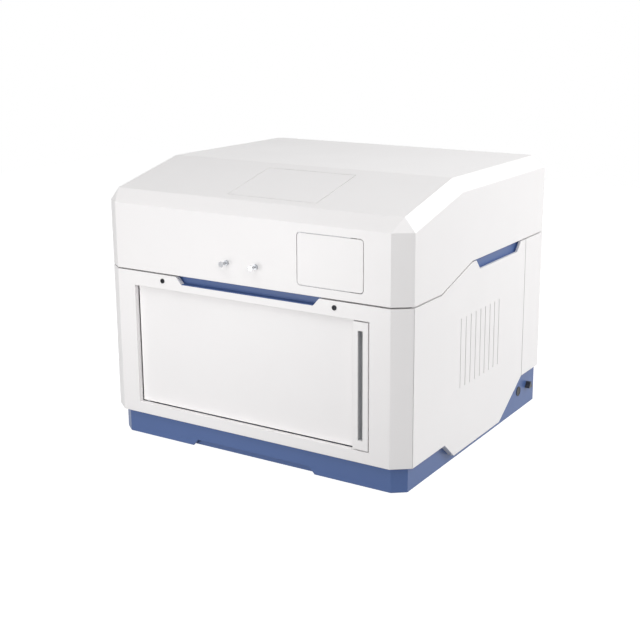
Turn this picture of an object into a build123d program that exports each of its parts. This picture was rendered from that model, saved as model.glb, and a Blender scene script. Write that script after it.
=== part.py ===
from build123d import *
import math
import os

# A bench spectrometer: a blue base tray, white sheet-steel panels on a tube frame, and a faceted
# white hood hinged at the rear over an optical deck. Millimetres. The origin is the centre of the
# footprint on the bench, X runs to the right along the front, Y from the front to the rear, Z up.

# Outer form
body_width = 600
body_depth = 541
corner_across = 29
corner_back = 22
rear_corner = 12
sheet = 2.5
return_depth = 11

# Clearances
seat = 0.3
slide_gap = 0.05
bond = 0.01
over = 1

# Heights above the bench
foot_clearance = 3
skirt_z = 47
low_skirt_z = 17.4
rear_skirt_z = 78
front_seam_z = 305.5
side_seam_z = 338.3
front_edge_z = 420.7
slope_foot_z = 442.7
roof_z = 481.5
side_edge_z = 459
seam_gap = 2.5

# Creases of the hood and corners of the side panels, measured back from the front face
chamfer_depth = 22.4
roof_start = 180.8
rear_chamfer = 25.5
side_chamfer = 18.5
seam_rise_start = 113
seam_rise_end = 223.5
skirt_drop_start = 134
skirt_drop_end = 169
skirt_lift_start = 353.8
panel_split = 451
split_gap = 2
panel_joint = 0.6

# Finger recesses under the hood's lower edge
front_grip_top = 288
front_grip_bottom = 263.5
front_grip_drop = 12.8
front_grip_return = 9
front_grip_depth = 12
side_grip_centre = 334
side_grip_top = 188.6
side_grip_bottom = 157.8
side_grip_drop = 16.6
side_grip_return = 4.5
side_grip_depth = 8
liner_sheet = 1.5
trap_inset = 7.3
trap_rise = 12
hood_lip = 5.5

# Grooves pressed into the side panels
groove_count = 9
groove_pitch = 19
groove_length = 120
groove_width = 3
groove_sink = 0.8
groove_centre_depth = 262
groove_centre_z = 190

# Rear panel's fan and vent slots
fan_x = -150
fan_z = 200
fan_size = 120
fan_depth = 25
fan_wall = 4
fan_hub_radius = 18
fan_pin_radius = 3
fan_rib = 3
fan_blade_length = 34
fan_blade_chord = 17
fan_blade_sheet = 1.6
fan_blade_swing = 35
fan_blades = 7
guard_wire = 1.6
guard_bar = 2
guard_rings = (18, 32, 46, 59)
guard_bar_width = 3
guard_bar_reach = 64
vent_count = 12
vent_pitch = 12
vent_x = 130
vent_length = 70
vent_width = 4

# Base tray
base_inset = 11.3
base_wall = 2.5
base_front_z = 60
base_floor_z = 14.5
base_flange = 20
step_depth = 380
arch_top = 230
arch_bottom = 252
carry_rail_setback = 8
carry_rail_width = 24
carry_rail_overlap = 20
foot_radius = 20
foot_taper = 2
foot_inset_x = 65
foot_inset_y = 70
foot_dimple_radius = 8
foot_dimple_depth = 7

# Frame of square tube
tube = 20
tube_wall = 2
rail_top_z = 296
front_post_setback = 24
rear_post_setback = 17
cross_tube = 13
isolator_radius = 8
isolator_setback = 25

# Front door
door_width = 468
door_low_z = 66.5
door_high_z = 279
door_gap = 2
jamb_depth = 9
door_thickness = 12
door_pivot_inset = 9
door_pivot_depth = 14
door_pin_radius = 3
bracket_sheet = 4
bracket_length = 20
bracket_depth = 24
stile_width = 27.7
leaf_joint = 0.4
pull_width = 8.6
pull_height = 178.8
pull_depth = 8
pull_from_edge = 9.5
pull_wall = 1.5
pull_lift = 0.5
skin_sheet = 1.5
skin_hinge_margin = 13
skin_margin = 3
seal_width = 8
seal_depth = 3

# Sample chamber, behind the door
chamber_width = 412
chamber_low_z = 80
chamber_high_z = 268
chamber_front = 25.8
chamber_depth = 236
chamber_wall = 2
chamber_flange = 8
chamber_side_flange = 20
support_x = 150
support_width = 30
support_wall = 2
support_front = 34
support_rear = 20

# Stage in the chamber
stage_length = 300
stage_depth = 110
stage_bed = 10
way_height = 10
way_head = 32
way_foot = 26
carriage_length = 70
carriage_depth = 96
carriage_height = 19
platform_radius = 42
platform_rise = 20
platform_plate = 6
platform_stem_radius = 14
platform_rim = 8
platform_sink = 1.5

# Port between the chamber and the optical deck
port_x = 90
port_depth = 120
port_radius = 18
tube_thickness = 2
port_lip = 4

# Optical deck
deck_thickness = 10
deck_top_z = 314
deck_front = 60
deck_rear_margin = 36
deck_side_gap = 14
deck_hole_radius = 3
deck_hole_margin = 46
deck_hole_columns = 6
deck_hole_rows = (200, 300, 380, 480)
beam_height = 45

# Pieces on the optical deck
lamp_margin = 36
lamp_length = 90
lamp_depth = 80
lamp_rise = 35
lamp_fins = 6
lamp_fin_pitch = 9
lamp_fin_gap = 4
lamp_fin_cut = 10
lamp_fin_start = 20
snout_radius = 14
snout_bore = 10
snout_length = 40
snout_bore_depth = 70
fold_half = 24
fold_wall = 4
fold_window = 14
fold_glass = 3
slit_setback = 60
slit_plate_half = 25
slit_plate = 5
slit_foot = 6
slit_foot_depth = 25
slit_width = 1.2
slit_height = 16
slit_rise = 22
mirror_depth = 440
mirror_radius = 30
mirror_thickness = 9
mirror_rim = 3
mirror_swing = 14
mount_half = 36
mount_plate = 10
mount_foot = 8
mount_foot_half = 40
mount_foot_depth = 40
mount_rise = 36
focus_x = -110
turret_x = -10
turret_depth = 240
turret_base_half = 38
turret_base_height = 16
turret_radius = 32
turret_plate = 9
turret_pin_radius = 6
turret_post_half = 22
turret_post_thickness = 12
turret_rise = 24
grating_half = 20
grating_thickness = 6
grating_height = 36
detector_margin = 86
detector_depth = 265
detector_half = 32
detector_half_depth = 30
detector_rise = 30
detector_nose_radius = 24
detector_nose = 12
detector_window = 28
detector_window_height = 18
detector_window_depth = 6
cooler_fins = 6
cooler_fin = 3
cooler_reach = 16

# Hatches in the hood
hatch_gap = 1.1
hatch_sheet = 2.2
hatch_pivot_inset = 12
hatch_pivot_depth = 4.8
pivot_radius = 1.5
lug_radius = 3.5
lug_width = 6
lug_inset = 1
ear_gap = 0.4
ear_width = 3
ear_half = 4
frame_overlap = 4
frame_rim = 12
frame_sheet = 2
frame_relief = 3
top_hatch_x = 28.2
top_hatch_width = 173.2
top_hatch_length = 122.2
top_hatch_start = 39.1
top_hatch_corner = 0.8
front_hatch_x = 163.2
front_hatch_width = 119.6
front_hatch_low_z = 322.2
front_hatch_height = 83.3
front_hatch_corner = 5.5

# Pull rods with their filters
rod_places = (-35, 23.3)
rod_z = 341
rod_radius = 3
rod_neck_radius = 2
knob_radius = 4.8
knob_flare = 6
knob_band = 1.2
knob_reach = 15.5
bush_collar_radius = 4.3
bush_collar = 3
bush_wall = 1.15
bush_barrel_radius = 7
bush_length = 45
filter_radius = 10.9
filter_thickness = 2.4
carrier_half = 18
carrier_width = 7.2
carrier_web = 3.2
carrier_foot = 6

# Hood hinges
hinge_x = 190
hinge_length = 60
knuckle_radius = 4
knuckle_gap = 0.4
hinge_pin_radius = 2
leaf_sheet = 2
leaf_height = 34
leaf_tongue = 1.5

# Controls and sockets
button_depth = 466.4
button_z = 40.7
button_radius = 7.2
button_length = 9
button_sink = 0.4
bezel_radius = 9.1
bezel_wall = 1.45
bezel_face = 1
bezel_length = 16
bezel_bore_depth = 12
switch_depth = 506
switch_z = 42.4
switch_hub_radius = 4.2
switch_lobe_radius = 2.6
switch_lobe_reach = 5
switch_lobes = 3
switch_rest = 30
switch_height = 9
switch_body_radius = 9
switch_body_length = 22
spindle_radius = 2.5
spindle_reach = 6
fascia_screw_x = 171.5
fascia_screw_z = 293.6
screw_head_radius = 4.1
screw_head_height = 1.2
screw_radius = 2.1
screw_length = 8
screw_socket_radius = 2
screw_socket_depth = 0.8
inlet_x = 150
inlet_z = 42
inlet_width = 47
inlet_height = 27
inlet_rim = 1.5
inlet_flange = 2.5
inlet_depth = 24
inlet_mouth = 25
inlet_mouth_height = 17
inlet_mouth_depth = 16
blade_places = ((-7, -2), (0, 3), (7, -2))
blade_half_width = 1
blade_half_height = 2

# Electronics on the tray's floor, behind the chamber
board_left = -220
board_length = 240
board_front = 300
board_depth = 170
board_sheet = 1.6
standoff_radius = 4
standoff_height = 12
standoff_inset = 10
chip_places = ((60, 50, 34, 34, 4), (130, 100, 22, 22, 3), (190, 45, 40, 18, 9))
socket_count = 4
socket_start = 30
socket_pitch = 30
socket_width = 22
socket_depth = 13
socket_height = 10
socket_setback = 12
capacitor_count = 3
capacitor_start = 160
capacitor_pitch = 24
capacitor_front = 130
capacitor_radius = 8
capacitor_height = 25
supply_left = 60
supply_length = 150
supply_front = 310
supply_depth = 160
supply_height = 55
supply_slots = 9
supply_slot_pitch = 15
supply_slot_width = 5
supply_slot_start = 14
supply_slot_margin = 12
supply_slot_sink = 2

half_width = body_width / 2
knuckle_reach = 2 * knuckle_radius + seat
front_y = (knob_reach - body_depth - knuckle_reach) / 2
rear_y = front_y + body_depth
body_top_front = front_seam_z - seam_gap / 2
body_top_side = side_seam_z - seam_gap / 2
hood_low_front = front_seam_z + seam_gap / 2
hood_low_side = side_seam_z + seam_gap / 2
base_rear_z = rear_skirt_z - seat
base_face_x = half_width - base_inset
floor_top_z = base_floor_z + base_wall
deck_low_z = deck_top_z - deck_thickness
deck_half_width = half_width - deck_side_gap
beam_z = deck_top_z + beam_height
port_y = front_y + port_depth
hinge_y = rear_y + knuckle_radius + seat
door_left = -door_width / 2
door_pivot_x = door_left + door_pivot_inset
door_pivot_y = front_y + door_pivot_depth
door_back_y = front_y + jamb_depth + door_thickness
chamber_y = front_y + chamber_front
slope_angle = math.atan2(roof_z - slope_foot_z, roof_start - chamfer_depth)
side_drop = roof_z - side_edge_z


def block(x, y, z):
    """A box between two corners, each argument being a low and a high value."""
    size = (x[1] - x[0], y[1] - y[0], z[1] - z[0])
    centre = ((x[0] + x[1]) / 2, (y[0] + y[1]) / 2, (z[0] + z[1]) / 2)
    return Pos(*centre) * Box(*size)


def span(a, b):
    """Two values as a low and a high one."""
    return (min(a, b), max(a, b))


def along_x(points, x0, x1):
    """An outline of (y, z) points carried from x0 to x1."""
    face = make_face(Polyline(*points, close=True))
    return extrude(Plane((x0, 0, 0), x_dir=(0, 1, 0), z_dir=(1, 0, 0)) * face, x1 - x0)


def along_y(points, y0, y1):
    """An outline of (x, z) points carried from y0 to y1."""
    face = make_face(Polyline(*points, close=True))
    return extrude(Plane((0, y1, 0), x_dir=(1, 0, 0), z_dir=(0, -1, 0)) * face, y1 - y0)


def round_x(y, z, radius, x0, x1):
    return Pos((x0 + x1) / 2, y, z) * Rot(0, 90, 0) * Cylinder(radius, x1 - x0)


def round_y(x, z, radius, y0, y1):
    return Pos(x, (y0 + y1) / 2, z) * Rot(90, 0, 0) * Cylinder(radius, y1 - y0)


def round_z(x, y, radius, z0, z1):
    return Pos(x, y, (z0 + z1) / 2) * Cylinder(radius, z1 - z0)


def turned_y(x, z, profile):
    """A turned piece on an axis along Y, from (y, radius) points."""
    y0, y1 = profile[0][0], profile[-1][0]
    points = [(0, y0)] + [(radius, y) for y, radius in profile] + [(0, y1)]
    face = make_face(Polyline(*points, close=True))
    return Pos(x, 0, z) * revolve(face, axis=Axis.Y)


def mirrored(solid):
    """The same piece for the other side of the instrument."""
    return mirror(solid, about=Plane.YZ)


def plan_prism(inset, z0, z1):
    """The body's plan, each face moved inwards, between two heights: large slanted front
    corners and small rear corners."""
    right = [
        (half_width - corner_across, front_y),
        (half_width, front_y + corner_back),
        (half_width, rear_y - rear_corner),
        (half_width - rear_corner, rear_y),
    ]
    face = make_face(Polyline(*right, *[(-x, y) for x, y in reversed(right)], close=True))
    if inset:
        face = offset(face, amount=-inset, kind=Kind.INTERSECTION)
    return extrude(Plane((0, 0, z0)) * face, z1 - z0)


def plan_ring(inset, depth, z0, z1):
    """A wall that follows the body's plan."""
    return plan_prism(inset, z0, z1) - plan_prism(inset + depth, z0 - over, z1 + over)


def seam_profile(front_z, side_z):
    """The stepped line of the seam along one side, from front to rear, as (y, z) points."""
    return [
        (front_y - over, front_z),
        (front_y + seam_rise_start, front_z),
        (front_y + seam_rise_end, side_z),
        (rear_y + over, side_z),
    ]


def grip_outline(centre, top, bottom, high, drop, extra):
    """A finger recess, wider at its open top, grown by extra on its ends and bottom."""
    upper, lower = top / 2 + extra, bottom / 2 + extra
    low = high - drop - extra
    return [
        (centre - upper, high + over),
        (centre - lower, low),
        (centre + lower, low),
        (centre + upper, high + over),
    ]


def front_grip_outline(extra):
    return grip_outline(0, front_grip_top, front_grip_bottom, body_top_front, front_grip_drop, extra)


def side_grip_outline(extra):
    centre = front_y + side_grip_centre
    return grip_outline(centre, side_grip_top, side_grip_bottom, body_top_side, side_grip_drop, extra)


def base_form(inset, z0, z1):
    """The base's plan: the body's front corners, and square corners flush with the rear."""
    side = half_width - inset
    rear = rear_y - max(0, inset - base_inset)
    return plan_prism(inset, z0, z1) + block((-side, side), (0, rear), (z0, z1))


def base_skirt():
    """Blue wall all round the base, low at the front and sides and high at the rear, with an
    inward flange on top, a grip arch at the front, and holes for the controls and the inlet."""
    low = foot_clearance
    skirt = base_form(base_inset, low, base_rear_z)
    skirt -= base_form(base_inset + base_wall, low - over, base_front_z - base_wall)
    skirt -= base_form(base_inset + base_flange, low - over, base_rear_z + over)
    step_start = front_y + step_depth
    step_end = step_start + base_rear_z - base_front_z
    skirt -= along_x(
        [
            (front_y, base_front_z),
            (step_start, base_front_z),
            (step_end, base_rear_z),
            (step_end, base_rear_z + over),
            (front_y, base_rear_z + over),
        ],
        -half_width,
        half_width,
    )
    inner = base_face_x - base_wall
    under_flange = (base_front_z - base_wall - over, base_rear_z - base_wall)
    skirt -= block((-inner, inner), (step_end, rear_y - base_wall), under_flange)
    arch = [
        (-arch_bottom / 2, low - over),
        (-arch_top / 2, base_floor_z),
        (arch_top / 2, base_floor_z),
        (arch_bottom / 2, low - over),
    ]
    skirt -= along_y(arch, front_y, front_y + base_inset + base_wall + over)
    side = (inner - over, base_face_x + over)
    skirt -= round_x(front_y + button_depth, button_z, button_radius + bezel_wall + slide_gap, *side)
    skirt -= round_x(front_y + switch_depth, switch_z, spindle_radius + seat, *side)
    mouth = inlet_width / 2 + seat
    height = inlet_height / 2 + seat
    rear = (rear_y - base_wall - over, rear_y + over)
    return skirt - block((inlet_x - mouth, inlet_x + mouth), rear, (inlet_z - height, inlet_z + height))


def base_floor():
    """Floor plate welded inside the skirt a little above the feet."""
    return base_form(base_inset + base_wall, base_floor_z, floor_top_z)


def carry_rail():
    """Folded rail under the floor, set back behind the arch, that the hands pull on."""
    y0 = front_y + base_inset + carry_rail_setback
    y1 = y0 + carry_rail_width
    reach = arch_bottom / 2 + carry_rail_overlap
    low, high = foot_clearance + seat, base_floor_z - seat
    rail = block((-reach, reach), (y0, y1), (low, high))
    hollow = (y0 + base_wall, y1 - base_wall)
    return rail - block((-reach - over, reach + over), hollow, (low - over, high - base_wall))


def rubber_feet():
    """Four round feet under the floor, each with a dimple for its screw."""
    height = base_floor_z - seat
    foot = Pos(0, 0, height / 2) * Cone(foot_radius - foot_taper, foot_radius, height)
    foot -= round_z(0, 0, foot_dimple_radius, -over, foot_dimple_depth)
    return [
        Pos(hand * (half_width - foot_inset_x), y) * foot
        for hand in (-1, 1)
        for y in (front_y + foot_inset_y, rear_y - foot_inset_y)
    ]


def square_tube(x, y, z, axis):
    """A length of square tube between two corners, open along its axis."""
    walls = [(tube_wall, -tube_wall)] * 3
    walls[axis] = (-over, over)
    inner = [(side[0] + wall[0], side[1] + wall[1]) for side, wall in zip((x, y, z), walls)]
    return block(x, y, z) - block(*inner)


def body_frame():
    """Welded tube frame: four posts on the base's flanges, two side rails and two cross rails."""
    low = rail_top_z - tube
    front = front_y + front_post_setback
    rear = rear_y - rear_post_setback
    inner = base_face_x - tube
    frame = square_tube((-inner, inner), (rear - tube, rear), (low, rail_top_z), 0)
    middle = front + (tube - cross_tube) / 2
    cross = (rail_top_z - cross_tube, rail_top_z)
    frame += square_tube((-inner, inner), (middle, middle + cross_tube), cross, 0)
    for x in ((inner, base_face_x), (-base_face_x, -inner)):
        frame += square_tube(x, (front, rear), (low, rail_top_z), 1)
        frame += square_tube(x, (front, front + tube), (base_front_z + seat, low), 2)
        frame += square_tube(x, (rear - tube, rear), (base_rear_z + seat, low), 2)
    return frame


def folded_wall(y0, y1, z0, z1):
    """Part of the body's wall between two depths, with returns along its top and bottom edges."""
    wall = plan_ring(0, sheet, z0, z1)
    wall += plan_ring(0, return_depth, z0, z0 + sheet)
    wall += plan_ring(0, return_depth, z1 - sheet, z1)
    return wall & block((-body_width, body_width), (y0, y1), (z0 - over, z1 + over))


def front_frame():
    """Front panel with both slanted corners, the door's opening and jambs, and a finger recess."""
    panel = folded_wall(front_y - over, front_y + corner_back, skirt_z, body_top_front)
    side = door_width / 2
    jamb = (front_y + sheet / 2, front_y + jamb_depth)
    panel += block((-side - sheet, side + sheet), jamb, (door_low_z - sheet, door_high_z + sheet))
    opening = (front_y - over, front_y + jamb_depth + over)
    panel -= block((-side, side), opening, (door_low_z, door_high_z))
    ends = along_y(front_grip_outline(sheet), front_y + sheet / 2, front_y + front_grip_return)
    panel += ends & block((-side, side), (front_y, rear_y), (skirt_z, body_top_front))
    panel -= along_y(front_grip_outline(0), front_y - over, front_y + front_grip_return + over)
    behind = (front_y + front_grip_return, front_y + return_depth + over)
    panel -= along_y(front_grip_outline(sheet + seat), *behind)
    for x in (-fascia_screw_x, fascia_screw_x):
        panel -= round_y(x, fascia_screw_z, screw_radius + slide_gap, front_y - over, front_y + sheet + over)
    return panel


def fascia_screws():
    """Two black socket-head screws in the front panel."""
    screws = []
    for x in (-fascia_screw_x, fascia_screw_x):
        face = front_y - screw_head_height
        screw = round_y(x, fascia_screw_z, screw_head_radius, face, front_y - bond)
        screw += round_y(x, fascia_screw_z, screw_radius, face, front_y + screw_length)
        place = Plane((x, face, fascia_screw_z), x_dir=(1, 0, 0), z_dir=(0, 1, 0))
        screws.append(screw - extrude(place * RegularPolygon(screw_socket_radius, 6), screw_socket_depth))
    return screws


def side_panel():
    """Right panel, folded from one sheet with a return all round: a stepped seam with the finger
    recess on top, a dropped and lifted skirt below, and a field of pressed grooves."""
    start = front_y + corner_back + panel_joint
    end = front_y + panel_split - split_gap / 2
    grip = side_grip_outline(0)
    lean = (grip[1][0] - grip[0][0]) / (grip[0][1] - grip[1][1]) * over
    points = [
        (start, skirt_z),
        (front_y + skirt_drop_start, skirt_z),
        (front_y + skirt_drop_end, low_skirt_z),
        (front_y + skirt_lift_start, low_skirt_z),
        (end, rear_skirt_z),
        (end, body_top_side),
        (grip[3][0] - lean, body_top_side),
        grip[2],
        grip[1],
        (grip[0][0] + lean, body_top_side),
        (front_y + seam_rise_end, body_top_side),
        (front_y + seam_rise_start, body_top_front),
        (start, body_top_front),
    ]
    inner = half_width - return_depth
    panel = along_x(points, inner, half_width)
    back = offset(make_face(Polyline(*points, close=True)), amount=-sheet, kind=Kind.INTERSECTION)
    place = Plane((inner - over, 0, 0), x_dir=(0, 1, 0), z_dir=(1, 0, 0))
    panel -= extrude(place * back, return_depth - sheet + over)
    panel -= along_x(side_grip_outline(sheet + seat), inner - over, half_width - side_grip_return)
    slot = SlotOverall(groove_length, groove_width, rotation=90)
    for i in range(groove_count):
        y = front_y + groove_centre_depth + (i - (groove_count - 1) / 2) * groove_pitch
        place = Plane((half_width - groove_sink, y, groove_centre_z), x_dir=(0, 1, 0), z_dir=(1, 0, 0))
        panel -= extrude(place * slot, groove_sink + over)
    return panel


def rear_shell():
    """Rear panel with both rear corners and side strips, a fan hole and vent slots."""
    shell = folded_wall(front_y + panel_split + split_gap / 2, rear_y + over, rear_skirt_z, body_top_side)
    through = (rear_y - return_depth - over, rear_y + over)
    shell -= round_y(fan_x, fan_z, fan_size / 2 - fan_wall, *through)
    place = Plane((vent_x, rear_y + over, fan_z), x_dir=(1, 0, 0), z_dir=(0, -1, 0))
    slot = SlotOverall(vent_length, vent_width, rotation=90)
    for i in range(vent_count):
        shift = (i - (vent_count - 1) / 2) * vent_pitch
        shell -= extrude(place * Pos(shift, 0) * slot, sheet + 2 * over)
    return shell


def light_trap():
    """Black upstand behind the seam, on the panels' top returns, with gaps at the recesses."""
    ring = plan_ring(trap_inset, liner_sheet, body_top_front - over, body_top_side + trap_rise + over)
    low = seam_profile(body_top_front, body_top_side)
    high = seam_profile(body_top_front + trap_rise, body_top_side + trap_rise)
    ring &= along_x(low + list(reversed(high)), -half_width, half_width)
    height = (body_top_front - over, body_top_side + trap_rise + over)
    front_gap = front_grip_top / 2 + sheet + over
    ring -= block((-front_gap, front_gap), (front_y, front_y + return_depth), height)
    centre = front_y + side_grip_centre
    side_gap = side_grip_top / 2 + sheet + over
    return ring - block((-half_width, half_width), (centre - side_gap, centre + side_gap), height)


def front_grip_liner():
    """Blue pocket behind the front recess, its back wall carried up behind the hood's lip."""
    y0 = front_y + front_grip_return + seat
    y1 = front_y + front_grip_depth
    reach = front_grip_top / 2 + sheet
    below_top = block((-reach - over, reach + over), (front_y, rear_y), (skirt_z, body_top_front))
    liner = along_y(front_grip_outline(sheet), y0, y1 + liner_sheet) & below_top
    liner -= along_y(front_grip_outline(0), y0 - over, y1)
    back = (body_top_front, body_top_front + trap_rise)
    liner += block((-reach, reach), (y1, y1 + liner_sheet), back)
    low = front_grip_outline(0)[1][1]
    half = front_grip_bottom / 2 - over
    return liner + block((-half, half), (front_y + panel_joint, y1), (low + bond, low + over))


def side_grip_liner():
    """Blue pocket behind the right side recess."""
    x0 = half_width - side_grip_return - seat
    x1 = half_width - side_grip_depth
    below_top = block((0, half_width), (front_y, rear_y), (skirt_z, body_top_side))
    liner = along_x(side_grip_outline(sheet), x1 - liner_sheet, x0) & below_top
    liner -= along_x(side_grip_outline(0), x1, x0 + over)
    centre = front_y + side_grip_centre
    reach = side_grip_top / 2 + sheet
    back = (body_top_side, body_top_side + trap_rise)
    return liner + block((x1 - liner_sheet, x1), (centre - reach, centre + reach), back)


def grip_liners():
    right = side_grip_liner()
    return [front_grip_liner(), right, mirrored(right)]


def hood_planes():
    """A point and an outward normal for every slanted face of the hood."""

    def crease(rise, run):
        length = math.hypot(rise, run)
        return rise / length, run / length

    def through(*corners):
        a, b, c = (Vector(*corner) for corner in corners)
        normal = (b - a).cross(c - a).normalized()
        return a, normal if normal.Z > 0 else normal * -1

    front_rise, front_run = crease(slope_foot_z - front_edge_z, chamfer_depth)
    rear_rise, rear_run = crease(side_drop, rear_chamfer)
    side_rise, side_run = crease(side_drop, side_chamfer)
    foot = front_y + chamfer_depth
    planes = [
        (Vector(0, front_y, front_edge_z), Vector(0, -front_rise, front_run)),
        (Vector(0, foot, slope_foot_z), Vector(0, -math.sin(slope_angle), math.cos(slope_angle))),
        (Vector(0, rear_y - rear_chamfer, roof_z), Vector(0, rear_rise, rear_run)),
    ]
    for hand in (1, -1):
        side = hand * half_width
        brow = (side, front_y + corner_back, slope_foot_z - side_drop)
        shoulder = (side - hand * side_chamfer, foot, slope_foot_z)
        run = (side, brow[1] + math.cos(slope_angle), brow[2] + math.sin(slope_angle))
        planes += [
            (Vector(side, 0, side_edge_z), Vector(hand * side_rise, 0, side_run)),
            through((side - hand * corner_across, front_y, front_edge_z), brow, shoulder),
            through(brow, run, shoulder),
            through(
                (side, rear_y - rear_corner, side_edge_z),
                (side - hand * rear_corner, rear_y, side_edge_z),
                (side - hand * rear_chamfer, rear_y - rear_chamfer, roof_z),
            ),
        ]
    return planes


def hood_form(inset):
    """The hood's faceted outside, each face moved inwards by inset."""
    form = plan_prism(inset, body_top_front - over, roof_z - inset)
    for point, normal in hood_planes():
        form = form.split(Plane(origin=point - normal * inset, z_dir=normal), keep=Keep.BOTTOM)
    return form


def top_hatch_plane():
    """Plane on the hood's slope with its origin at the middle of the hatch's lower edge."""
    rise = (top_hatch_start - chamfer_depth) * math.tan(slope_angle)
    origin = (top_hatch_x, front_y + top_hatch_start, slope_foot_z + rise)
    return Plane(origin=origin, x_dir=(1, 0, 0), z_dir=(0, -math.sin(slope_angle), math.cos(slope_angle)))


def front_hatch_plane():
    """Plane on the hood's front: x runs down and y to the right from the hatch's free edge."""
    left = front_hatch_x - front_hatch_width / 2
    origin = (left, front_y, front_hatch_low_z + front_hatch_height / 2)
    return Plane(origin=origin, x_dir=(0, 0, -1), z_dir=(0, -1, 0))


def hatch_opening(width, length, corner):
    """The hole in the hood for a hatch, in the hatch's own plane: y runs from the free edge."""
    wide, long = width + 2 * hatch_gap, length + 2 * hatch_gap
    face = Pos(0, length / 2) * RectangleRounded(wide, long, corner + hatch_gap)
    return Pos(0, 0, -sheet - over) * extrude(face, sheet + 2 * over)


def hatch_lid(width, length, corner):
    """A flush lid with a pivot lug and a pin under each end of its hinge edge."""
    lid = extrude(Pos(0, length / 2) * RectangleRounded(width, length, corner), -hatch_sheet)
    pivot_y = length - hatch_pivot_inset
    for hand in (-1, 1):
        outer = hand * (width / 2 - lug_inset)
        lug = span(outer, outer - hand * lug_width)
        lug_y = (pivot_y - lug_radius, pivot_y + lug_radius)
        lid += round_x(pivot_y, -hatch_pivot_depth, lug_radius, *lug)
        lid += block(lug, lug_y, (-hatch_pivot_depth, -hatch_sheet / 2))
        tip = hand * (width / 2 + hatch_gap + ear_gap + ear_width + over)
        lid += round_x(pivot_y, -hatch_pivot_depth, pivot_radius, *span(outer, tip))
    return lid


def hatch_frame(width, length):
    """Ring under the hood's sheet that the lid closes on, with an ear for each pivot pin."""
    height = (-sheet - frame_sheet, -sheet)
    cut = (height[0] - over, height[1] + over)
    inner = width / 2 - frame_overlap
    wide = width / 2 + hatch_gap
    hinge_start = length - 2 * hatch_pivot_inset
    pivot_y = length - hatch_pivot_inset
    ring = block((-width / 2 - frame_rim, width / 2 + frame_rim), (-frame_rim, length + frame_rim), height)
    ring -= block((-inner, inner), (frame_overlap, hinge_start), cut)
    ring -= block((-wide, wide), (hinge_start, length + hatch_gap + frame_relief), cut)
    for hand in (-1, 1):
        near = hand * (wide + ear_gap)
        ear = span(near, near + hand * ear_width)
        ring += block(ear, (pivot_y - ear_half, pivot_y + ear_half), (-hatch_pivot_depth - ear_half, -sheet))
    reach = width / 2 + frame_rim
    return ring - round_x(pivot_y, -hatch_pivot_depth, pivot_radius + slide_gap, -reach, reach)


def top_hatch():
    return top_hatch_plane() * hatch_lid(top_hatch_width, top_hatch_length, top_hatch_corner)


def front_hatch():
    return front_hatch_plane() * hatch_lid(front_hatch_height, front_hatch_width, front_hatch_corner)


def hatch_frames():
    return [
        top_hatch_plane() * hatch_frame(top_hatch_width, top_hatch_length),
        front_hatch_plane() * hatch_frame(front_hatch_height, front_hatch_width),
    ]


def hood():
    """Faceted sheet hood with a stepped lower edge, a lip along it and both hatch openings."""
    shell = hood_form(0) - hood_form(sheet)
    low = seam_profile(hood_low_front, hood_low_side)
    high = seam_profile(hood_low_front + sheet, hood_low_side + sheet)
    floor = body_top_front - 2 * over
    below = low + [(rear_y + over, floor), (front_y - over, floor)]
    shell -= along_x(below, -half_width - over, half_width + over)
    lip = plan_ring(0, hood_lip, hood_low_front - over, hood_low_side + sheet + over)
    shell += lip & along_x(low + list(reversed(high)), -half_width, half_width)
    shell -= top_hatch_plane() * hatch_opening(top_hatch_width, top_hatch_length, top_hatch_corner)
    shell -= front_hatch_plane() * hatch_opening(front_hatch_height, front_hatch_width, front_hatch_corner)
    for x in rod_places:
        shell -= round_y(x, rod_z, rod_radius + bush_wall + slide_gap, front_y - over, front_y + sheet + over)
    return shell


def pull_rod(x):
    """Chromed rod through the hood's front, turned down to a neck with a flared knob."""
    face = front_y - knob_reach
    shoulder = front_y - bush_collar
    return turned_y(x, rod_z, [
        (face, knob_radius),
        (face + knob_band, knob_radius),
        (face + knob_flare, rod_neck_radius),
        (shoulder, rod_neck_radius),
        (shoulder, rod_radius),
        (port_y + carrier_half, rod_radius),
    ])


def rod_bushes():
    """Turned bushes in the hood's front that the rods slide in."""
    bore = rod_radius + slide_gap
    bushes = []
    for x in rod_places:
        bush = round_y(x, rod_z, bush_collar_radius, front_y - bush_collar, front_y - bond)
        bush += round_y(x, rod_z, rod_radius + bush_wall, front_y - bush_collar, front_y + sheet)
        bush += round_y(x, rod_z, bush_barrel_radius, front_y + sheet, front_y + bush_length)
        bushes.append(bush - round_y(x, rod_z, bore, front_y - knob_reach, front_y + bush_length + over))
    return bushes


def filter_carrier(x):
    """A plate on the rod's inner end that holds a round filter across the beam."""
    y = (port_y - carrier_half, port_y + carrier_half)
    foot = (rod_z - carrier_foot, rod_z + carrier_foot)
    plate = block((x - carrier_width / 2, x + carrier_width / 2), y, foot)
    plate += block((x - carrier_web / 2, x + carrier_web / 2), y, (foot[0], beam_z + carrier_half))
    plate -= round_x(port_y, beam_z, filter_radius + bond, x - carrier_width, x + carrier_width)
    return plate - round_y(x, rod_z, rod_radius + bond, y[0] - over, y[1] + over)


def round_filter(x):
    return round_x(port_y, beam_z, filter_radius, x - filter_thickness / 2, x + filter_thickness / 2)


def hinge_leaf(centre, places, side):
    """A flat leaf on the rear face, above or below the seam, with its knuckles."""
    ends = (centre - hinge_length / 2, centre + hinge_length / 2)
    near = side_seam_z + side * (knuckle_radius + knuckle_gap)
    leaf = block(ends, (rear_y, rear_y + leaf_sheet), span(near, side_seam_z + side * leaf_height))
    tongue = span(side_seam_z + side * leaf_tongue, near + side * over)
    for low, high in places:
        reach = (centre + low, centre + high)
        leaf += round_x(hinge_y, side_seam_z, knuckle_radius, *reach)
        leaf += block(reach, (rear_y + seat, rear_y + leaf_sheet), tongue)
    return leaf


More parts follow.
